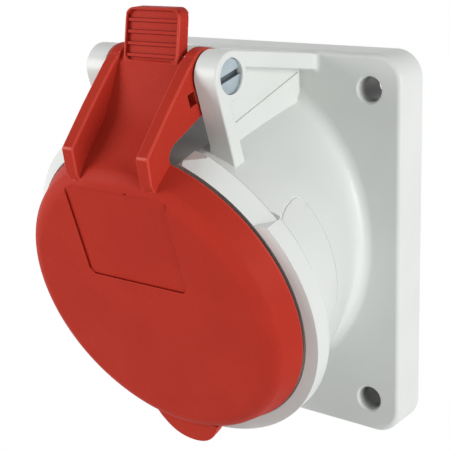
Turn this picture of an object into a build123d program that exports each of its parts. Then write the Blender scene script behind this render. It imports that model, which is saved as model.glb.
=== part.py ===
from build123d import *
import math
import os

os.makedirs("parts", exist_ok=True)

# All lengths are in millimetres. The mounting face lies on y = 0 and the socket looks towards -Y.

# Flange
flange_width = 75.0
flange_height = 85.0
flange_thickness = 9.2
flange_corner = 6.0
flange_edge_round = 1.1
hole_inset = 7.5
hole_spacing_x = flange_width - 2 * hole_inset
hole_spacing_z = flange_height - 2 * hole_inset
hole_radius = 2.75
hole_chamfer = 0.4

# Socket axis: tipped down towards the front, crossing the mounting face above its centre
tilt = 17.0
axis_height = 8.2
face_distance = 51.0

# Housing body behind the collar: oval sections, from the collar to the flange
body_front_half_width = 33.6
body_front_half_height = 32.5
body_front_shift = -2.4
body_front_depth = 12.6
body_middle_half_width = 32.6
body_middle_half_height = 32.3
body_middle_shift = -2.1
body_middle_depth = 21.0
body_rear_half_width = 25.8
body_rear_half_height = 31.6
body_rear_z = 4.8
body_rear_y = -6.0
body_root_fillet = 2.6

# Plug bore, its lip and the lid's rim round them
bore_radius = 26.0
lip_wall = 2.4
lip_radius = bore_radius + lip_wall
lid_overhang = 5.6
lid_rim_radius = lip_radius + lid_overhang

# Collar round the lid
collar_cone_front = lid_rim_radius + 0.3
collar_cone_back = collar_cone_front + 2.9
collar_front_depth = 7.4
collar_seam_depth = 10.25
collar_back_depth = 13.4
ring_inner_radius = lid_rim_radius + 0.2
ring_front_radius = ring_inner_radius + 2.8
ring_back_radius = ring_front_radius + 0.4
ring_front_depth = 7.4
ring_back_depth = 11.0
ring_end_angle = 42.0
ring_end_right = 20.6
ring_end_left = 9.5
cone_end_angle = 28.0
cone_end_left = 14.0
moat_depth = 8.0
notch_half_width = 13.4
notch_floor = 31.3
shoulder_half_width = 17.8
shoulder_height = 32.4
pocket_floor = 28.9
pocket_back = 4.0

# Plug bore and its lip
bore_shift = -0.8
lip_depth = 5.4
ledge = 14.5
rear_bore_radius = 21.0
keyway_width = 6.0
keyway_depth = 1.2

# Insert: carrier, terminal block and contacts
bore_gap = 0.3
carrier_disc = 3.0
carrier_radius = 21.3
carrier_front = 40.5
carrier_skin = 1.5
block_gap = 0.8
block_back = -14.0
contact_circle = 15.0
sleeve_front = 38.6
sleeve_wall = 1.0
sleeve_bore = 2.55
earth_bore = 3.55
sleeve_floor = 17.0
clip_from = 30.0
clip_to = 35.5
clip_wall = 0.5
sleeve_room = 0.8
entry_gap = 0.3
tail_radius = 2.5
clamp_side = 7.4
clamp_front = -4.0
clamp_gap = 0.2
wire_radius = 1.7
clamp_screw_radius = 1.5
insert_screw_radius = 1.5
insert_screw_head = 2.0
insert_screw_circle = 23.6
insert_screw_angle = 35.0
insert_screw_length = 9.0
insert_screw_head_height = 1.6
clamp_screw_length = 3.4

# Seals
gasket_inner = 25.0
gasket_outer = 29.7
gasket_rest_gap = 0.05
seal_width = 2.2
seal_depth = 1.5
seal_edge_gap = 1.9

# Spring
wire_r = 0.45
coil_r = 2.95
coil_half_length = 6.4
coil_turns = 7 + 174 / 360
coil_start = 270.0
housing_leg = 10.6
lid_leg = 5.4

# Hinge
hinge_y = -39.03
hinge_z = 41.28
ear_inner = 11.76
ear_outer = 17.02
ear_barrel_radius = 5.0
ear_wall = 3.3
arm_top_angle = 81.6
arm_low_angle = 12.4
arm_end_top = 41.8
arm_end_low = 38.2
ear_web = 0.9
ear_round = 0.45
ear_root_round = 1.2
strip_proud = 0.45
strip_top = 31.2
head_recess_radius = 3.6
head_recess_depth = 3.4
pin_radius = 2.0
pin_running_gap = 0.05
pin_head_radius = 3.45
pin_head_length = 2.9
pin_slot_width = 1.3
pin_slot_depth = 0.8
pin_slot_angle = 13.0
pin_end_x = -16.4

# Lid
lid_face_radius = lid_rim_radius - 6.0
lid_edge_radius = lid_rim_radius - 1.9
lid_edge_depth = 2.3
lid_rim_depth = 7.0
lid_wall = 2.2
label_half_width = 13.2
label_low = 6.4
label_high = 28.1
label_recess = 0.4
nub_half_width = 8.6
nub_root = lid_rim_radius - 2.3
nub_reach = lid_rim_radius + 3.9
nub_back_depth = 4.9
nub_thickness = 2.6
rib_inner = 8.28
rib_outer = 11.26
knuckle_radius = 5.3
coil_clearance_radius = 3.9
tab_half_width = 7.1
tab_field_half_width = 6.5
tab_recess = 0.7
tab_grip_height = 0.45
tab_grip_pitch = 2.31

cos_t = math.cos(math.radians(tilt))
sin_t = math.sin(math.radians(tilt))


def at(s, a):
    """Point on the middle plane, s up the lid face and a out along the socket axis."""
    return (0, -a * cos_t - s * sin_t, axis_height - a * sin_t + s * cos_t)


def section(angle, shift):
    """Plane that holds the axis line at this shift, with the radius along its X and the axis along its Y."""
    c = math.cos(math.radians(angle))
    s = math.sin(math.radians(angle))
    return Plane(origin=at(shift, 0), x_dir=(c, -s * sin_t, s * cos_t), z_dir=(s, c * sin_t, -c * cos_t))


def line(shift):
    return Axis(at(shift, 0), (0, -cos_t, -sin_t))


def contact_angle(k):
    """Angle of contact k round the socket, earth first at the bottom."""
    return -90 + 72 * k


def contact_at(k, more=0.0):
    """Place of contact k in the bore plane, or a point that much further out from the bore axis."""
    turn = math.radians(contact_angle(k))
    return ((contact_circle + more) * math.cos(turn), (contact_circle + more) * math.sin(turn))


def barrel(angle):
    """Point on the ear's barrel outline, in the Y and Z of the side view."""
    turn = math.radians(angle)
    return (hinge_y + ear_barrel_radius * math.cos(turn), hinge_z + ear_barrel_radius * math.sin(turn))


def radial_plane(angle):
    """Plane across the screw line of the clamp at this angle, looking outwards from the bore axis."""
    c = math.cos(math.radians(angle))
    s = math.sin(math.radians(angle))
    middle = (block_back + clamp_front) / 2
    return Plane(
        origin=at(bore_shift, middle),
        x_dir=(0, -cos_t, -sin_t),
        z_dir=(c, -s * sin_t, s * cos_t),
    )


axis_plane = Plane(origin=at(0, 0), x_dir=(1, 0, 0), z_dir=(0, -cos_t, -sin_t))
bore_plane = Plane(origin=at(bore_shift, 0), x_dir=(1, 0, 0), z_dir=(0, -cos_t, -sin_t))
side_plane = Plane(origin=at(0, 0), x_dir=(0, -sin_t, cos_t), z_dir=(1, 0, 0))
hinge_a = -hinge_y * cos_t - (hinge_z - axis_height) * sin_t
hinge_s = -hinge_y * sin_t + (hinge_z - axis_height) * cos_t
tab_plane = Plane(origin=(0, -43.2, 44.5), x_dir=(1, 0, 0), z_dir=(0, -0.9866, 0.163))
head_seat = ear_outer - head_recess_depth
leg_front = hinge_a + ear_barrel_radius
leg_back = leg_front - ear_wall
leg_back_angle = 270 + tilt - math.degrees(math.asin((ear_barrel_radius - ear_wall) / ear_barrel_radius))
lid_cavity_radius = lip_radius + 0.9
gasket_rest = face_distance - lip_depth + gasket_rest_gap
seal_outer_x = flange_width - 2 * seal_edge_gap
seal_outer_z = flange_height - 2 * seal_edge_gap

with BuildPart() as ear:
    with BuildSketch(Plane.YZ.offset(ear_inner)):
        with BuildLine():
            Line(barrel(arm_top_angle), (-8.0, arm_end_top))
            Line((-8.0, arm_end_top), (-8.0, arm_end_low))
            Line((-8.0, arm_end_low), barrel(arm_low_angle))
            ThreePointArc(barrel(arm_low_angle), barrel(-40), barrel(leg_back_angle))
            Line(barrel(leg_back_angle), at(18.0, leg_back)[1:])
            Line(at(18.0, leg_back)[1:], at(18.0, leg_front)[1:])
            Line(at(18.0, leg_front)[1:], barrel(180 + tilt))
            ThreePointArc(barrel(180 + tilt), barrel(139), barrel(arm_top_angle))
        make_face()
    extrude(amount=ear_outer - ear_inner)
    fillet(ear.faces().sort_by(Axis.X)[-1].edges(), ear_round)

with BuildPart() as housing:
    with BuildSketch(Plane.XZ):
        RectangleRounded(flange_width, flange_height, flange_corner)
    extrude(amount=flange_thickness)
    fillet(housing.faces().sort_by(Axis.Y)[0].edges(), flange_edge_round)
    with BuildSketch(axis_plane.offset(face_distance - body_front_depth)):
        with Locations((0, body_front_shift)):
            Ellipse(body_front_half_width, body_front_half_height)
    with BuildSketch(axis_plane.offset(face_distance - body_middle_depth)):
        with Locations((0, body_middle_shift)):
            Ellipse(body_middle_half_width, body_middle_half_height)
    with BuildSketch(Plane.XZ.offset(-body_rear_y)):
        with Locations((0, body_rear_z)):
            Ellipse(body_rear_half_width, body_rear_half_height)
    loft()
    root = [
        e
        for e in housing.edges()
        if abs(e.center().Y + flange_thickness) < 0.01 and e.bounding_box().size.Y < 0.01 and e.length > 100
        and e.bounding_box().size.X < flange_width - 4
    ]
    fillet(root, body_root_fillet)
    with BuildSketch(section(180 - ring_end_angle, 0)):
        with BuildLine():
            Polyline(
                (0, face_distance - moat_depth),
                (0, face_distance - collar_back_depth),
                (33.2, face_distance - collar_back_depth),
                (ring_back_radius - 0.5, face_distance - ring_back_depth - 0.8),
                (ring_back_radius, face_distance - ring_back_depth),
                (ring_front_radius, face_distance - ring_front_depth),
                (ring_inner_radius, face_distance - ring_front_depth),
                (ring_inner_radius - 0.5, face_distance - moat_depth),
                (0, face_distance - moat_depth),
            )
        make_face()
    revolve(axis=line(0), revolution_arc=180 + 2 * ring_end_angle)
    # flat ends of the ring segment, lower on the left
    with BuildSketch(axis_plane.offset(face_distance - collar_back_depth - 1)):
        for side, end in ((1, ring_end_right), (-1, ring_end_left)):
            with Locations((side * 32.0, end + 10)):
                Rectangle(14, 20)
    extrude(amount=12, mode=Mode.SUBTRACT)
    with BuildSketch(section(cone_end_angle, 0)):
        with BuildLine():
            Polyline(
                (0, face_distance - moat_depth),
                (0, face_distance - collar_back_depth),
                (33.2, face_distance - collar_back_depth),
                (collar_cone_back - 0.3, face_distance - collar_seam_depth - 0.5),
                (collar_cone_back, face_distance - collar_seam_depth),
                (collar_cone_front, face_distance - collar_front_depth),
                (collar_cone_front - 0.6, face_distance - moat_depth),
                (0, face_distance - moat_depth),
            )
        make_face()
    revolve(axis=line(0), revolution_arc=180 - cone_end_angle - cone_end_left)
    # hinge notch in the top of the collar, its shoulders, and the pocket between the ears
    with BuildSketch(axis_plane.offset(face_distance - collar_back_depth - 8)):
        with Locations((0, notch_floor + 10)):
            Rectangle(2 * notch_half_width, 20)
        with Locations((0, shoulder_height + 10)):
            Rectangle(2 * shoulder_half_width, 20)
    extrude(amount=30, mode=Mode.SUBTRACT)
    with BuildSketch(axis_plane.offset(pocket_back)):
        with Locations((0, pocket_floor + 10)):
            Rectangle(2 * ear_inner, 20)
    extrude(amount=50, mode=Mode.SUBTRACT)
    with BuildSketch(bore_plane.offset(ledge)):
        Circle(lip_radius)
    extrude(amount=face_distance - lip_depth - ledge)
    # hinge ears, both sides, with the webs that join them to the body
    add(ear.part)
    mirror(ear.part, about=Plane.YZ)
    for side in (1, -1):
        base = Plane.YZ.offset(side * ear_inner)
        with BuildSketch(base):
            with BuildLine():
                Polyline(
                    at(22.0, hinge_a + ear_barrel_radius - 1)[1:],
                    at(hinge_s - 2, hinge_a + ear_barrel_radius - 1)[1:],
                    (-37.0, 43.6),
                    (-8.0, 39.6),
                    (-8.0, 28.0),
                    at(22.0, 12.0)[1:],
                    at(22.0, hinge_a + ear_barrel_radius - 1)[1:],
                )
            make_face()
        extrude(amount=side * ear_web)
        with BuildSketch(base):
            with BuildLine():
                Polyline(
                    at(22.0, hinge_a + ear_barrel_radius - 1)[1:],
                    at(strip_top, hinge_a + ear_barrel_radius - 1)[1:],
                    at(strip_top, 1.0)[1:],
                    at(22.0, 5.0)[1:],
                    at(22.0, hinge_a + ear_barrel_radius - 1)[1:],
                )
            make_face()
        extrude(amount=side * (ear_web + strip_proud))
    # pin bore and the recess for its head
    with BuildSketch(Plane.YZ.offset(-ear_outer - 1)):
        with Locations((hinge_y, hinge_z)):
            Circle(pin_radius)
    extrude(amount=2 * ear_outer + 2, mode=Mode.SUBTRACT)
    with BuildSketch(Plane.YZ.offset(ear_outer - head_recess_depth)):
        with Locations((hinge_y, hinge_z)):
            Circle(head_recess_radius)
    extrude(amount=head_recess_depth + 1, mode=Mode.SUBTRACT)
    # plug bore with its keyway, and the rear bore
    with BuildSketch(bore_plane.offset(ledge)):
        Circle(bore_radius)
        with Locations((0, -bore_radius)):
            Rectangle(keyway_width, 2 * keyway_depth)
    extrude(amount=60, mode=Mode.SUBTRACT)
    with BuildSketch(bore_plane.offset(ledge + 1)):
        Circle(rear_bore_radius)
    extrude(amount=-60, mode=Mode.SUBTRACT)
    with BuildSketch(bore_plane.offset(ledge)):
        with PolarLocations(insert_screw_circle, 2, insert_screw_angle):
            Circle(insert_screw_radius)
    extrude(amount=-insert_screw_length + carrier_disc, mode=Mode.SUBTRACT)
    # fixing holes
    with BuildSketch(Plane.XZ.offset(flange_thickness)):
        with GridLocations(hole_spacing_x, hole_spacing_z, 2, 2):
            Circle(hole_radius)
    extrude(amount=-flange_thickness, mode=Mode.SUBTRACT)
    hole_rims = [
        e
        for e in housing.edges()
        if abs(e.center().Y + flange_thickness) < 0.01 and abs(e.length - 2 * math.pi * hole_radius) < 0.1
    ]
    chamfer(hole_rims, hole_chamfer)
    arm_roots = [
        e
        for e in housing.edges()
        if abs(e.center().Y + flange_thickness) < 0.01 and e.bounding_box().size.Y < 0.01
        and ear_inner < abs(e.center().X) < ear_outer + 0.1 and 37.0 < e.center().Z < 43.0
    ]
    fillet(arm_roots, ear_root_round)
    # groove for the seal in the mounting face
    with BuildSketch(Plane.XZ):
        RectangleRounded(seal_outer_x, seal_outer_z, flange_corner - seal_edge_gap)
        RectangleRounded(
            seal_outer_x - 2 * seal_width,
            seal_outer_z - 2 * seal_width,
            flange_corner - seal_edge_gap - seal_width + 1.2,
            mode=Mode.SUBTRACT,
        )
    extrude(amount=seal_depth, mode=Mode.SUBTRACT)
housing.part.label = "housing"
export_step(housing.part, "parts/housing.step")
print("housing", housing.part.is_valid, round(housing.part.volume), len(housing.part.solids()))

with BuildPart() as flange_gasket:
    with BuildSketch(Plane.XZ):
        RectangleRounded(seal_outer_x, seal_outer_z, flange_corner - seal_edge_gap)
        RectangleRounded(
            seal_outer_x - 2 * seal_width,
            seal_outer_z - 2 * seal_width,
            flange_corner - seal_edge_gap - seal_width + 1.2,
            mode=Mode.SUBTRACT,
        )
    extrude(amount=seal_depth)
flange_gasket.part.label = "flange_gasket"
export_step(flange_gasket.part, "parts/flange_gasket.step")

with BuildPart() as hinge_pin:
    with BuildSketch(Plane.YZ.offset(pin_end_x)):
        with Locations((hinge_y, hinge_z)):
            Circle(pin_radius)
    extrude(amount=head_seat - pin_end_x)
    with BuildSketch(Plane.YZ.offset(head_seat)):
        with Locations((hinge_y, hinge_z)):
            Circle(pin_head_radius)
    extrude(amount=pin_head_length)
    with BuildSketch(Plane.YZ.offset(head_seat + pin_head_length - pin_slot_depth)):
        with Locations((hinge_y, hinge_z)):
            Rectangle(3 * pin_head_radius, pin_slot_width, rotation=pin_slot_angle)
    extrude(amount=3, mode=Mode.SUBTRACT)
hinge_pin.part.label = "hinge_pin"
export_step(hinge_pin.part, "parts/hinge_pin.step")

with BuildPart() as lid:
    face_a = face_distance
    with BuildSketch(section(0, 0)):
        with BuildLine():
            Line((0, face_a), (lid_face_radius, face_a))
            ThreePointArc(
                (lid_face_radius, face_a),
                (lid_face_radius + 2.55, face_a - 0.7),
                (lid_edge_radius, face_a - lid_edge_depth),
            )
            Polyline(
                (lid_edge_radius, face_a - lid_edge_depth),
                (lid_rim_radius, face_a - lid_rim_depth),
                (lid_rim_radius - 2.0, face_a - lid_rim_depth),
                (lid_edge_radius - 0.6, face_a - lid_wall - 2.6),
                (lid_cavity_radius, face_a - lid_wall),
                (0, face_a - lid_wall),
                (0, face_a),
            )
        make_face()
    revolve(axis=line(0))
    # nub at the bottom
    with BuildSketch(axis_plane.offset(face_a - nub_back_depth)):
        with BuildLine():
            Spline(
                (-nub_half_width, -nub_root),
                (-nub_half_width + 1.7, -nub_root - 2.8),
                (-nub_half_width + 4.4, -nub_reach + 1.0),
                (0, -nub_reach),
                (nub_half_width - 4.4, -nub_reach + 1.0),
                (nub_half_width - 1.7, -nub_root - 2.8),
                (nub_half_width, -nub_root),
            )
            Line((nub_half_width, -nub_root), (-nub_half_width, -nub_root))
        make_face()
    extrude(amount=nub_thickness)
    # label recess
    with BuildSketch(axis_plane.offset(face_a - label_recess)):
        with Locations((0, (label_low + label_high) / 2)):
            RectangleRounded(2 * label_half_width, label_high - label_low, 1.7)
    extrude(amount=2, mode=Mode.SUBTRACT)
    # ribs with the hinge knuckles
    for side in (rib_inner, -rib_outer):
        with BuildSketch(side_plane.offset(side)):
            with BuildLine():
                Polyline(
                    (29.0, face_a - 0.8),
                    (31.0, face_a - 0.25),
                    (36.1, face_a - 1.1),
                    (41.4, face_a - 9.5),
                    (46.4, face_a - 18.0),
                    (47.7, hinge_a + 2.6),
                    (hinge_s, hinge_a),
                    (37.4, hinge_a - 0.9),
                    (36.25, 32.4),
                    (34.9, 41.7),
                    (34.4, 42.9),
                    (33.2, face_a - lid_rim_depth),
                    (31.6, face_a - lid_rim_depth),
                    (30.9, 46.4),
                    (29.0, 48.5),
                    (29.0, face_a - 0.8),
                )
            make_face()
            with Locations((hinge_s, hinge_a)):
                Circle(knuckle_radius)
        extrude(amount=rib_outer - rib_inner)
    # concave ramp between the ribs
    with BuildSketch(side_plane.offset(-rib_inner)):
        with BuildLine():
            Spline(
                (30.7, face_a - 1.8),
                (33.6, face_a - 5.5),
                (37.5, face_a - 11.6),
                (41.8, face_a - 15.9),
                (46.2, face_a - 19.6),
            )
            Polyline(
                (46.2, face_a - 19.6),
                (47.4, hinge_a + 1.6),
                (45.6, hinge_a + 1.0),
                (42.8, hinge_a + 4.1),
                (40.2, 34.0),
                (36.0, 38.2),
                (33.4, 41.6),
                (31.8, 44.4),
                (29.8, 47.2),
                (30.7, face_a - 1.8),
            )
        make_face()
    extrude(amount=2 * rib_inner)
    # finger tab
    with BuildSketch(Plane.YZ.offset(-tab_half_width)):
        with BuildLine():
            Polyline(
                (-43.45, 43.0),
                (-41.62, 54.1),
                (-38.6, 54.1),
                (-39.6, 47.0),
                (-39.9, 43.0),
                (-43.45, 43.0),
            )
        make_face()
    extrude(amount=2 * tab_half_width)
    top_corners = [
        e
        for e in lid.edges()
        if abs(e.center().Z - 54.1) < 0.05 and abs(abs(e.center().X) - tab_half_width) < 0.05
    ]
    fillet(top_corners, 2.2)
    with BuildSketch(tab_plane.offset(-tab_recess)):
        with Locations((0, 4.3)):
            RectangleRounded(2 * tab_field_half_width, 9.9, 1.4)
    extrude(amount=2, mode=Mode.SUBTRACT)
    with BuildSketch(tab_plane.offset(-tab_recess)):
        for step in range(4):
            with Locations((0, 0.35 + step * tab_grip_pitch)):
                Rectangle(2 * tab_field_half_width + 0.4, 0.6)
    extrude(amount=tab_grip_height)
    # room for the spring, pin bore and the notches in the ribs
    with BuildSketch(Plane.YZ.offset(-rib_inner)):
        with Locations((hinge_y, hinge_z)):
            Circle(coil_clearance_radius)
    extrude(amount=2 * rib_inner, mode=Mode.SUBTRACT)
    with BuildSketch(Plane.YZ.offset(-rib_outer - 1)):
        with Locations((hinge_y, hinge_z)):
            Circle(pin_radius + pin_running_gap)
    extrude(amount=2 * rib_outer + 2, mode=Mode.SUBTRACT)
    for side in (rib_inner, -rib_outer):
        with BuildSketch(side_plane.offset(side)):
            with Locations((40.5, 33.6)):
                Rectangle(2.6, 2.2)
        extrude(amount=rib_outer - rib_inner, mode=Mode.SUBTRACT)
lid.part.label = "lid"
export_step(lid.part, "parts/lid.step")
print("lid", lid.part.is_valid, round(lid.part.volume), len(lid.part.solids()))

with BuildPart() as lid_gasket:
    with BuildSketch(section(0, 0)):
        with BuildLine():
            Polyline(
                (gasket_inner, face_distance - lid_wall),
                (lid_cavity_radius - 0.2, face_distance - lid_wall),
                (gasket_outer, face_distance - lid_wall - 1.4),
                (gasket_outer, gasket_rest),
                (gasket_inner, gasket_rest),
                (gasket_inner, face_distance - lid_wall),
            )
        make_face()
    revolve(axis=line(0))
lid_gasket.part.label = "lid_gasket"
export_step(lid_gasket.part, "parts/lid_gasket.step")

coil_helix = Helix(
    pitch=2 * coil_half_length / coil_turns,
    height=2 * coil_half_length,
    radius=coil_r,
    center=(-coil_half_length, hinge_y, hinge_z),
    direction=(1, 0, 0),
).rotate(Axis((0, hinge_y, hinge_z), (1, 0, 0)), coil_start)

with BuildPart() as lid_spring:
    with BuildSketch(Plane(origin=coil_helix @ 0, z_dir=coil_helix % 0)):
        Circle(wire_r)
    sweep(path=coil_helix, is_frenet=True)
    # one leg bears on the housing, the other on the lid
    with BuildSketch(Plane(origin=coil_helix @ 0, z_dir=coil_helix % 0)):
        Circle(wire_r)
    extrude(amount=-housing_leg)
    with BuildSketch(Plane(origin=coil_helix @ 1, z_dir=coil_helix % 1)):
        Circle(wire_r)
    extrude(amount=lid_leg)
lid_spring.part.label = "lid_spring"
export_step(lid_spring.part, "parts/lid_spring.step")
print("spring", lid_spring.part.is_valid, round(lid_spring.part.volume, 1), len(lid_spring.part.solids()))

with BuildPart() as contact_carrier:
    with BuildSketch(bore_plane.offset(ledge)):
        Circle(bore_radius - bore_gap)
    extrude(amount=carrier_disc)
    with BuildSketch(bore_plane.offset(ledge)):
        Circle(carrier_radius)
    extrude(amount=carrier_front - ledge)
    fillet(contact_carrier.faces().sort_by(line(0))[-1].edges(), 0.8)
    for k in range(5):
        bore = earth_bore if k == 0 else sleeve_bore
        with BuildSketch(bore_plane.offset(ledge)):
            with Locations(contact_at(k)):
                Circle(bore + sleeve_wall + sleeve_room)
        extrude(amount=carrier_front - carrier_skin - ledge, mode=Mode.SUBTRACT)
        with BuildSketch(bore_plane.offset(ledge)):
            with Locations(contact_at(k)):
                Circle(bore + entry_gap)
        extrude(amount=carrier_front, mode=Mode.SUBTRACT)
    with BuildSketch(bore_plane.offset(ledge)):
        with PolarLocations(insert_screw_circle, 2, insert_screw_angle):
            Circle(insert_screw_radius)
    extrude(amount=carrier_disc, mode=Mode.SUBTRACT)
contact_carrier.part.label = "contact_carrier"
export_step(contact_carrier.part, "parts/contact_carrier.step")
print("carrier", contact_carrier.part.is_valid, len(contact_carrier.part.solids()))

with BuildPart() as terminal_block:
    with BuildSketch(bore_plane.offset(block_back)):
        Circle(rear_bore_radius - block_gap)
    extrude(amount=ledge - block_back)
    for k in range(5):
        angle = contact_angle(k)
        with BuildSketch(bore_plane.offset(block_back)):
            with Locations(contact_at(k)):
                Rectangle(clamp_side + 2 * clamp_gap, clamp_side + 2 * clamp_gap, rotation=angle)
        extrude(amount=clamp_front + clamp_gap - block_back, mode=Mode.SUBTRACT)
        with BuildSketch(bore_plane.offset(block_back)):
            with Locations(contact_at(k)):
                Circle(tail_radius)
        extrude(amount=ledge - block_back, mode=Mode.SUBTRACT)
        with BuildSketch(radial_plane(angle)):
            Circle(clamp_screw_radius + 0.2)
        extrude(amount=rear_bore_radius, mode=Mode.SUBTRACT)
terminal_block.part.label = "terminal_block"
export_step(terminal_block.part, "parts/terminal_block.step")
print("block", terminal_block.part.is_valid, len(terminal_block.part.solids()))

for k, name in enumerate(("pe", "l1", "l2", "l3", "n")):
    bore = earth_bore if k == 0 else sleeve_bore
    with BuildPart() as sleeve:
        with BuildSketch(bore_plane.offset(ledge)):
            with Locations(contact_at(k)):
                Circle(bore + sleeve_wall)
        extrude(amount=sleeve_front - ledge)
        with BuildSketch(bore_plane.offset(clamp_front)):
            with Locations(contact_at(k)):
                Circle(tail_radius)
        extrude(amount=ledge - clamp_front)
        with BuildSketch(bore_plane.offset(block_back)):
            with Locations(contact_at(k)):
                Rectangle(clamp_side, clamp_side, rotation=contact_angle(k))
        extrude(amount=clamp_front - block_back)
        with BuildSketch(bore_plane.offset(sleeve_floor)):
            with Locations(contact_at(k)):
                Circle(bore)
        extrude(amount=sleeve_front, mode=Mode.SUBTRACT)
        with BuildSketch(bore_plane.offset((sleeve_floor + sleeve_front) / 2)):
            with Locations(contact_at(k)):
                Rectangle(0.8, 4 * bore, rotation=contact_angle(k))
        extrude(amount=sleeve_front, mode=Mode.SUBTRACT)
        with BuildSketch(bore_plane.offset(block_back)):
            with Locations(contact_at(k)):
                Circle(wire_radius)
        extrude(amount=8.4, mode=Mode.SUBTRACT)
        with BuildSketch(radial_plane(contact_angle(k))):
            Circle(clamp_screw_radius)
        extrude(amount=rear_bore_radius, mode=Mode.SUBTRACT)
    sleeve.part.label = "sleeve_" + name
    export_step(sleeve.part, "parts/sleeve_" + name + ".step")
    with BuildPart() as clip:
        with BuildSketch(bore_plane.offset(clip_from)):
            with Locations(contact_at(k)):
                Circle(bore + sleeve_wall + clip_wall)
                Circle(bore + sleeve_wall, mode=Mode.SUBTRACT)
        extrude(amount=clip_to - clip_from)
        with BuildSketch(bore_plane.offset(clip_from)):
            with Locations(contact_at(k, bore + sleeve_wall)):
                Rectangle(3.0, 1.6, rotation=contact_angle(k))
        extrude(amount=clip_to - clip_from, mode=Mode.SUBTRACT)
    clip.part.label = "clip_" + name
    export_step(clip.part, "parts/clip_" + name + ".step")
    print(name, sleeve.part.is_valid, len(sleeve.part.solids()), clip.part.is_valid, len(clip.part.solids()))

with BuildPart() as terminal_screws:
    for k in range(5):
        with BuildSketch(radial_plane(contact_angle(k)).offset(contact_circle + wire_radius)):
            Circle(clamp_screw_radius)
        extrude(amount=clamp_screw_length)
        slot_level = contact_circle + wire_radius + clamp_screw_length - 0.6
        with BuildSketch(radial_plane(contact_angle(k)).offset(slot_level)):
            Rectangle(0.5, 4)
        extrude(amount=1, mode=Mode.SUBTRACT)
terminal_screws.part.label = "terminal_screws"
export_step(terminal_screws.part, "parts/terminal_screws.step")
print("terminal screws", terminal_screws.part.is_valid, len(terminal_screws.part.solids()))

with BuildPart() as insert_screws:
    with BuildSketch(bore_plane.offset(ledge + carrier_disc)):
        with PolarLocations(insert_screw_circle, 2, insert_screw_angle):
            Circle(insert_screw_head)
    extrude(amount=insert_screw_head_height)
    with BuildSketch(bore_plane.offset(ledge + carrier_disc + insert_screw_head_height - 0.7)):
        with PolarLocations(insert_screw_circle, 2, insert_screw_angle):
            Rectangle(2.6, 0.7)
            Rectangle(0.7, 2.6)
    extrude(amount=1, mode=Mode.SUBTRACT)
    with BuildSketch(bore_plane.offset(ledge + carrier_disc)):
        with PolarLocations(insert_screw_circle, 2, insert_screw_angle):
            Circle(insert_screw_radius)
    extrude(amount=-insert_screw_length)
insert_screws.part.label = "insert_screws"
export_step(insert_screws.part, "parts/insert_screws.step")
print("insert screws", insert_screws.part.is_valid, len(insert_screws.part.solids()))
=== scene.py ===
import bpy
import bmesh
import math
from mathutils import Matrix, Vector


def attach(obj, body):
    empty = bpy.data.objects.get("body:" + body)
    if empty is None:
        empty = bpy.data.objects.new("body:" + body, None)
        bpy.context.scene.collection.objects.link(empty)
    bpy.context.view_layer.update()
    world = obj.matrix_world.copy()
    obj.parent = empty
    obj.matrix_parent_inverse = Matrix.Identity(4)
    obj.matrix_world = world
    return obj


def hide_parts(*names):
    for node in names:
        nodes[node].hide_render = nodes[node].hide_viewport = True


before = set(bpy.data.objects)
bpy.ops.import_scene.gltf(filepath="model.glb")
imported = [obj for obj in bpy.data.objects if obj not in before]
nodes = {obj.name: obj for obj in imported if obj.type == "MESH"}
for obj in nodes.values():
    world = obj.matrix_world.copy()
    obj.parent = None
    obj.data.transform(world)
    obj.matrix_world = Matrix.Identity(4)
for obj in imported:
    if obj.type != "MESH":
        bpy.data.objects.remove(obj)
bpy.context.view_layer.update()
print("frame loaded", len(nodes))


# Shader maths on sockets
class Sock:
    def __init__(self, mat, out):
        self.mat = mat
        self.out = out

    def maths(self, operation, other=None):
        return self.mat.node("ShaderNodeMath", {0: self, 1: other}, operation=operation)

    def __add__(self, other):
        return self.maths("ADD", other)

    def __sub__(self, other):
        return self.maths("SUBTRACT", other)

    def __mul__(self, other):
        return self.maths("MULTIPLY", other)

    def most(self, other):
        return self.maths("MAXIMUM", other)

    def size(self):
        return self.maths("ABSOLUTE")

    def root(self):
        return self.maths("SQRT")

    def ramp(self, start, end, toLow=0.0, toHigh=1.0):
        inputs = {0: self, 1: start, 2: end, 3: toLow, 4: toHigh}
        settings = dict(clamp=True, interpolation_type="SMOOTHSTEP")
        return self.mat.node("ShaderNodeMapRange", inputs, **settings)


class Mat:
    def __init__(self, name):
        self.data = bpy.data.materials.new(name)
        self.data.use_nodes = True
        self.tree = self.data.node_tree
        self.shader = self.tree.nodes["Principled BSDF"]
        self.place = self.node("ShaderNodeTexCoord", {}, output="Object")

    def feed(self, socket, value):
        if isinstance(value, Sock):
            self.tree.links.new(value.out, socket)
        elif value is not None:
            socket.default_value = value

    def node(self, kind, inputs, output=0, **settings):
        made = self.tree.nodes.new(kind)
        for key, value in settings.items():
            setattr(made, key, value)
        for key, value in inputs.items():
            self.feed(made.inputs[key], value)
        return Sock(self, made.outputs[output])

    def split(self):
        parts = self.tree.nodes.new("ShaderNodeSeparateXYZ")
        self.feed(parts.inputs[0], self.place)
        return [Sock(self, out) for out in parts.outputs]

    def noise(self, scale, detail):
        inputs = {"Vector": self.place, "Scale": scale, "Detail": detail, "Roughness": 0.5}
        return self.node("ShaderNodeTexNoise", inputs, output="Fac")

    def mix(self, fac, first, second):
        inputs = {0: fac, 6: first, 7: second}
        return self.node("ShaderNodeMix", inputs, output=2, data_type="RGBA")

    def bump(self, height, strength, distance):
        inputs = {"Height": height, "Strength": strength, "Distance": distance}
        return self.node("ShaderNodeBump", inputs)

    def set(self, inputs):
        for key, value in inputs.items():
            self.feed(self.shader.inputs[key], value)


# Linear colour from 0 to 255 display values
def rgb(r, g, b):
    def lin(v):
        v = v / 255
        return v / 12.92 if v <= 0.04045 else ((v + 0.055) / 1.055) ** 2.4

    return (lin(r), lin(g), lin(b), 1.0)


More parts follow.
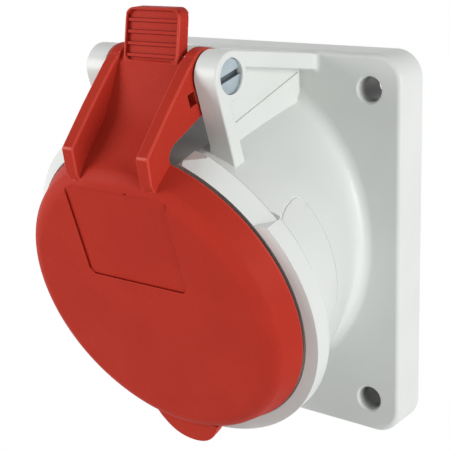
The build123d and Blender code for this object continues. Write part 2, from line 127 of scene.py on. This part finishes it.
# The shade colours are painted shade, laid over the base colour by the masks further down
plastics = {
    "housingPlastic": dict(
        base=rgb(218, 221, 218), dark=rgb(215, 218, 215), shade=rgb(40, 36, 34),
        rough=0.28, roughTop=0.36, spec=0.3, patch=55.0, grain=2600.0, depth=0.00001, strength=0.12,
    ),
    "lidPlastic": dict(
        base=rgb(177, 51, 38), dark=rgb(173, 49, 37), shade=rgb(110, 10, 4),
        rough=0.46, roughTop=0.54, spec=0.04, patch=60.0, grain=2400.0, depth=0.0001, strength=0.6,
    ),
    # Lighter red for the lid's bevel faces: a painted highlight along its edges
    "lidEdgeHighlight": dict(
        base=rgb(197, 66, 51), dark=rgb(191, 60, 46),
        rough=0.36, roughTop=0.44, spec=0.16, patch=60.0, grain=2400.0, depth=0.00004, strength=0.4,
    ),
    "insertPlastic": dict(
        base=rgb(52, 54, 58), dark=rgb(44, 46, 50),
        rough=0.45, roughTop=0.60, spec=0.4, patch=80.0, grain=2200.0, depth=0.00002, strength=0.30,
    ),
    "sealRubber": dict(
        base=rgb(34, 35, 37), dark=rgb(27, 28, 30),
        rough=0.65, roughTop=0.80, spec=0.3, patch=90.0, grain=1800.0, depth=0.00003, strength=0.40,
    ),
}
metals = {
    "pinSteel": dict(
        base=rgb(188, 201, 208), dark=rgb(170, 183, 190), shade=rgb(60, 60, 60),
        rough=0.34, roughTop=0.45, patch=225.0, grain=2700.0,
    ),
    "springSteel": dict(
        base=rgb(190, 192, 194), dark=rgb(160, 162, 166),
        rough=0.25, roughTop=0.40, patch=300.0, grain=3600.0,
    ),
    "contactBrass": dict(
        base=rgb(226, 190, 110), dark=rgb(206, 168, 92),
        rough=0.25, roughTop=0.42, patch=250.0, grain=3000.0,
    ),
    "screwSteel": dict(
        base=rgb(198, 200, 202), dark=rgb(172, 176, 180),
        rough=0.28, roughTop=0.44, patch=275.0, grain=3300.0,
    ),
}

# A band is the stretch of the noise over which a finish goes from one value to the other
plasticNoise = dict(patchDetail=3.0, grainDetail=1.0, toneBand=(0.35, 0.65), roughBand=(0.3, 0.7))
metalNoise = dict(detail=2.0, band=(0.3, 0.7), strength=0.15, depth=0.00001)

# The socket's axis leaves the mounting face at this height and is tipped down by this angle
axisHeight = 0.0082
tilt = math.radians(17)


# Place along the socket's axis and rise across it
def tipped(y, z):
    along = y * -math.cos(tilt) - (z - axisHeight) * math.sin(tilt)
    rise = y * -math.sin(tilt) + (z - axisHeight) * math.cos(tilt)
    return along, rise


# Point at an angle round the socket's axis, the other way about
def onSocket(angle, along, radius):
    side = radius * math.cos(math.radians(angle))
    rise = radius * math.sin(math.radians(angle))
    return (
        side,
        -along * math.cos(tilt) - rise * math.sin(tilt),
        axisHeight - along * math.sin(tilt) + rise * math.cos(tilt),
    )


# Where painted shade lies: pairs are where it starts and ends, and most is its strongest
fixingHoles = dict(
    side=0.030, height=0.035, reach=(0.0030, 0.0029), depth=(-0.0088, -0.0055), most=0.85,
)
earFloor = dict(
    rise=0.0289, layer=(0.0006, 0.0002), side=(0.0119, 0.0112), depth=(0.044, 0.030), most=0.6,
)
labelCorner = dict(
    side=0.0132, middle=0.01725, half=0.01085, inner=(-0.00028, -0.00006), outer=(0.00025, 0.00015),
    face=(0.05095, 0.05085), top=(0.0274, 0.0266), most=0.8,
)
gripRibs = dict(
    y=-0.0432, z=0.0445, across=0.163, up=0.9866, first=0.00035, halfPitch=0.001155,
    beside=(0.00055, 0.00036), ribDepth=(0.00032, 0.00042),
    walls=(0.00625, 0.00645), wallDepth=(0.00010, 0.00020),
    side=(0.00662, 0.00656), foot=(-0.0009, -0.0007), head=(0.0094, 0.0093), back=(0.0009, 0.0008),
    most=0.7,
)
pinSlot = dict(face=(0.0160, 0.0158), most=0.8)


# Painted shade deep in the fixing holes and on the floor between the hinge ears
def housingShade(m):
    x, y, z = m.split()
    s = fixingHoles
    acrossX = x.size() - s["side"]
    acrossZ = z.size() - s["height"]
    reach = (acrossX * acrossX + acrossZ * acrossZ).root()
    hole = reach.ramp(*s["reach"]) * y.ramp(*s["depth"], 0.0, s["most"])
    s = earFloor
    along, rise = tipped(y, z)
    floor = (rise - s["rise"]).size().ramp(*s["layer"]) * x.size().ramp(*s["side"])
    return hole.most(floor * along.ramp(*s["depth"], 0.0, s["most"]))


# Painted shade in the corner round the label field, and between the grip ribs of the tab
def lidShade(m):
    x, y, z = m.split()
    s = labelCorner
    along, rise = tipped(y, z)
    edge = (x.size() - s["side"]).most((rise - s["middle"]).size() - s["half"])
    line = edge.ramp(*s["inner"], 0.0, s["most"]) * edge.ramp(*s["outer"])
    label = line * along.ramp(*s["face"]) * rise.ramp(*s["top"])
    s = gripRibs
    height = (y - s["y"]) * s["across"] + (z - s["z"]) * s["up"]
    depth = (y - s["y"]) * s["up"] - (z - s["z"]) * s["across"]
    beside = (height - s["first"]).maths("PINGPONG", s["halfPitch"])
    ribs = beside.ramp(*s["beside"]) * depth.ramp(*s["ribDepth"])
    walls = x.size().ramp(*s["walls"]) * depth.ramp(*s["wallDepth"])
    field = x.size().ramp(*s["side"]) * height.ramp(*s["foot"]) * height.ramp(*s["head"])
    return label.most(ribs.most(walls) * field * depth.ramp(*s["back"]) * s["most"])


# Painted shade in the slot of the pin's head
def pinShade(m):
    x = m.split()[0]
    return x.ramp(*pinSlot["face"], 0.0, pinSlot["most"])


shades = {"housingPlastic": housingShade, "lidPlastic": lidShade, "pinSteel": pinShade}


# Base colour in two tones by patches, with painted shade over it where the material has a shade
# mask
def tones(m, name, s, blend):
    color = m.mix(blend, s["base"], s["dark"])
    if name in shades:
        color = m.mix(shades[name](m), color, s["shade"])
    return color


# Plastic is duller in patches and grained by a bump
def plastic(name, s):
    m = Mat(name)
    patch = m.noise(s["patch"], plasticNoise["patchDetail"])
    grain = m.noise(s["grain"], plasticNoise["grainDetail"])
    m.set({
        "Base Color": tones(m, name, s, patch.ramp(*plasticNoise["toneBand"])),
        "Roughness": patch.ramp(*plasticNoise["roughBand"], s["rough"], s["roughTop"]),
        "Normal": m.bump(grain, s["strength"], s["depth"]),
        "Specular IOR Level": s["spec"],
    })
    return m.data


# Metal is duller along its fine grain
def metal(name, s):
    m = Mat(name)
    patch = m.noise(s["patch"], metalNoise["detail"])
    grain = m.noise(s["grain"], metalNoise["detail"])
    m.set({
        "Base Color": tones(m, name, s, patch.ramp(*metalNoise["band"])),
        "Roughness": grain.ramp(*metalNoise["band"], s["rough"], s["roughTop"]),
        "Metallic": 1.0,
        "Normal": m.bump(grain, metalNoise["strength"], metalNoise["depth"]),
    })
    return m.data


materials = {name: plastic(name, s) for name, s in plastics.items()}
materials.update({name: metal(name, s) for name, s in metals.items()})

poles = ["pe", "l1", "l2", "l3", "n"]
finishes = {
    "housingPlastic": ["housing"],
    "lidPlastic": ["lid"],
    "sealRubber": ["lid_gasket", "flange_gasket"],
    "insertPlastic": ["contact_carrier", "terminal_block"],
    "pinSteel": ["hinge_pin"],
    "springSteel": ["lid_spring"] + ["clip_" + pole for pole in poles],
    "contactBrass": ["sleeve_" + pole for pole in poles],
    "screwSteel": ["terminal_screws", "insert_screws"],
}
for finish, members in finishes.items():
    for member in members:
        mesh = nodes[member].data
        mesh.materials.clear()
        mesh.materials.append(materials[finish])
print("materials", len(materials))


def toScene(name, data):
    made = bpy.data.objects.new(name, data)
    bpy.context.scene.collection.objects.link(made)
    return made


def pickOnly(chosen):
    bpy.ops.object.select_all(action="DESELECT")
    chosen.select_set(True)
    bpy.context.view_layer.objects.active = chosen


# Plain outline of the field on the housing's right side. Each point is an angle round the
# socket's axis and a place along it, in millimetres
fieldLine = dict(
    outline=[
        (34, 31.5), (34, 26.2), (30, 25.4), (20, 25.4), (10, 25.6), (2, 26.4), (-6, 27.8),
        (-12, 30.0), (-16, 33.0), (-16, 36.4), (-10, 36.8), (10, 36.8), (30, 36.4),
    ],
    radius=0.0335, smooth=10, width=0.00022, sides=2,
)


# Closed cord that follows the outline on the target's surface
def fieldGroove(s, target):
    line = bpy.data.curves.new("fieldLine", "CURVE")
    line.dimensions = "3D"
    run = line.splines.new("NURBS")
    run.points.add(len(s["outline"]) - 1)
    for point, (angle, along) in zip(run.points, s["outline"]):
        point.co = (*onSocket(angle, along / 1000, s["radius"]), 1.0)
    run.use_cyclic_u = True
    run.order_u = 3
    line.resolution_u = s["smooth"]
    pickOnly(toScene("fieldGroove", line))
    bpy.ops.object.convert(target="MESH")
    groove = bpy.context.view_layer.objects.active
    settle = groove.modifiers.new("settle", "SHRINKWRAP")
    settle.target = target
    bpy.ops.object.modifier_apply(modifier="settle")
    bpy.ops.object.convert(target="CURVE")
    groove = bpy.context.view_layer.objects.active
    groove.data.bevel_depth = s["width"]
    groove.data.bevel_resolution = s["sides"]
    bpy.ops.object.convert(target="MESH")
    return bpy.context.view_layer.objects.active


def engraveField(target):
    groove = fieldGroove(fieldLine, target)
    bpy.context.view_layer.objects.active = target
    engrave = target.modifiers.new("engrave", "BOOLEAN")
    engrave.operation = "DIFFERENCE"
    engrave.solver = "EXACT"
    engrave.object = groove
    bpy.ops.object.modifier_apply(modifier="engrave")
    bpy.data.objects.remove(groove, do_unlink=True)


# Softened copies stand for the two mouldings whose edges the eye meets
mouldings = {
    "housing": dict(
        piece="housingMoulding", body="socket", slot="housing_grey", width=0.00025, segments=2,
    ),
    # The lid's bevel faces take a lighter red, a painted highlight along its edges
    "lid": dict(
        piece="lidMoulding", body="lid", slot="lid_red", width=0.00038, segments=3, edge="lidEdgeHighlight",
    ),
}
weldGap = 0.000002
flatAngle = math.radians(0.2)
edgeAngle = math.radians(32)
smoothAngle = math.radians(30)

# The label field, the grip and the feet of the ribs keep crisper edges than the rest of the lid
labelEdges = dict(
    face=0.0502, bottom=0.0055, top=0.0292, half=0.0145, upper=0.0262, lowSoft=0.10, upSoft=0.04,
)
gripEdges = dict(bottom=0.0425, half=0.0069, soft=0.0)
footEdges = dict(top=0.0335, front=0.0445, soft=0.35)


def lidSoftness(at):
    along, rise = tipped(at.y, at.z)
    s = labelEdges
    if along > s["face"] and s["bottom"] < rise < s["top"] and abs(at.x) < s["half"]:
        return s["lowSoft"] if rise < s["upper"] else s["upSoft"]
    if at.z > gripEdges["bottom"] and abs(at.x) < gripEdges["half"]:
        return gripEdges["soft"]
    return footEdges["soft"] if rise < footEdges["top"] and along > footEdges["front"] else 1.0


def weighEdges(mesh, source):
    sheet = bmesh.new()
    sheet.from_mesh(mesh)
    weight = sheet.edges.layers.float.new("bevel_weight_edge")
    for edge in sheet.edges:
        if len(edge.link_faces) == 2 and edge.calc_face_angle(0) > edgeAngle:
            if source == "housing":
                edge[weight] = 1.0
            elif edge.is_convex:
                edge[weight] = lidSoftness((edge.verts[0].co + edge.verts[1].co) / 2)
    sheet.to_mesh(mesh)
    sheet.free()


for source, s in mouldings.items():
    copy = nodes[source].copy()
    copy.data = nodes[source].data.copy()
    copy.name = s["piece"]
    bpy.context.scene.collection.objects.link(copy)
    pickOnly(copy)
    bpy.ops.object.mode_set(mode="EDIT")
    bpy.ops.mesh.select_all(action="SELECT")
    bpy.ops.mesh.remove_doubles(threshold=weldGap)
    bpy.ops.mesh.dissolve_limited(angle_limit=flatAngle)
    bpy.ops.object.mode_set(mode="OBJECT")
    if source == "housing":
        engraveField(copy)
    weighEdges(copy.data, source)
    soften = copy.modifiers.new("soften", "BEVEL")
    soften.limit_method = "WEIGHT"
    soften.width = s["width"]
    soften.segments = s["segments"]
    soften.use_clamp_overlap = source == "housing"
    # Bevel faces get the second material, the painted edge highlight
    if "edge" in s:
        copy.data.materials.append(materials[s["edge"]])
        soften.material = 1
    bpy.ops.object.modifier_apply(modifier="soften")
    bpy.ops.object.shade_smooth_by_angle(angle=smoothAngle)
    even = copy.modifiers.new("even", "WEIGHTED_NORMAL")
    even.keep_sharp = True
    bpy.ops.object.modifier_apply(modifier="even")
    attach(copy, s["body"])
    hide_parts(source)
    print(s["piece"], len(copy.data.polygons))

# Camera at the photograph's viewpoint
view = dict(
    place=(0.14595, -0.20851, 0.07415), azimuth=37.897, elevation=16.379, roll=-2.153,
    lens=88.87, sensor=36.0, near=0.01, far=10.0,
)
azimuth = math.radians(view["azimuth"])
elevation = math.radians(view["elevation"])
roll = math.radians(view["roll"])
back = Vector((
    math.sin(azimuth) * math.cos(elevation),
    -math.cos(azimuth) * math.cos(elevation),
    math.sin(elevation),
))
right = Vector((math.cos(azimuth), math.sin(azimuth), 0))
up = back.cross(right)
rolledRight = right * math.cos(roll) + up * math.sin(roll)
rolledUp = up * math.cos(roll) - right * math.sin(roll)
cameraData = bpy.data.cameras.new("camera")
cameraData.lens = view["lens"]
cameraData.sensor_width = view["sensor"]
cameraData.clip_start = view["near"]
cameraData.clip_end = view["far"]
camera = toScene("camera", cameraData)
turned = Matrix((rolledRight, rolledUp, back)).transposed().to_4x4()
camera.matrix_world = Matrix.Translation(Vector(view["place"])) @ turned
bpy.context.scene.camera = camera

# Lamps: one at the right, one at the front left, weak ones from below, and one for the back
lamps = {
    "sideLamp": dict(place=(0.85, -0.15, 0.10), power=5.3),
    "frontLamp": dict(place=(-0.60, -0.60, 0.20), power=5.5),
    "lowSideLamp": dict(place=(0.70, -0.20, -0.50), power=0.45),
    "lowFrontLamp": dict(place=(0.20, -0.70, -0.50), power=1.0),
    "backLamp": dict(place=(-0.05, 0.85, -0.05), power=3.5),
}
lampSize = 0.5
lampAim = Vector((0, -0.02, 0))
for name, s in lamps.items():
    lampData = bpy.data.lights.new(name, "AREA")
    lampData.shape = "DISK"
    lampData.size = lampSize
    lampData.energy = s["power"]
    lamp = toScene(name, lampData)
    lamp.location = s["place"]
    aim = lampAim - Vector(s["place"])
    lamp.rotation_euler = aim.to_track_quat("-Z", "Y").to_euler()

# The world is a soft grey for the object's light, and plain white behind it, in what it mirrors
# and through glass
worldLight = 0.35
worldSeen = 1.0
seenBy = ["Is Camera Ray", "Is Glossy Ray", "Is Transmission Ray"]
world = bpy.data.worlds.new("studio")
world.use_nodes = True
bpy.context.scene.world = world
tree = world.node_tree
tree.nodes.clear()
path = tree.nodes.new("ShaderNodeLightPath")
pick = tree.nodes.new("ShaderNodeMixShader")
for slot, strength in ((1, worldLight), (2, worldSeen)):
    sky = tree.nodes.new("ShaderNodeBackground")
    sky.inputs["Color"].default_value = (1, 1, 1, 1)
    sky.inputs["Strength"].default_value = strength
    tree.links.new(sky.outputs[0], pick.inputs[slot])
seen = path.outputs[seenBy[0]]
for ray in seenBy[1:]:
    either = tree.nodes.new("ShaderNodeMath")
    either.operation = "MAXIMUM"
    tree.links.new(seen, either.inputs[0])
    tree.links.new(path.outputs[ray], either.inputs[1])
    seen = either.outputs[0]
tree.links.new(seen, pick.inputs[0])
out = tree.nodes.new("ShaderNodeOutputWorld")
tree.links.new(pick.outputs[0], out.inputs["Surface"])

settings = bpy.context.scene
settings.view_settings.view_transform = "Standard"
settings.render.resolution_x = 450
settings.render.resolution_y = 450
print("camera and lamps placed")
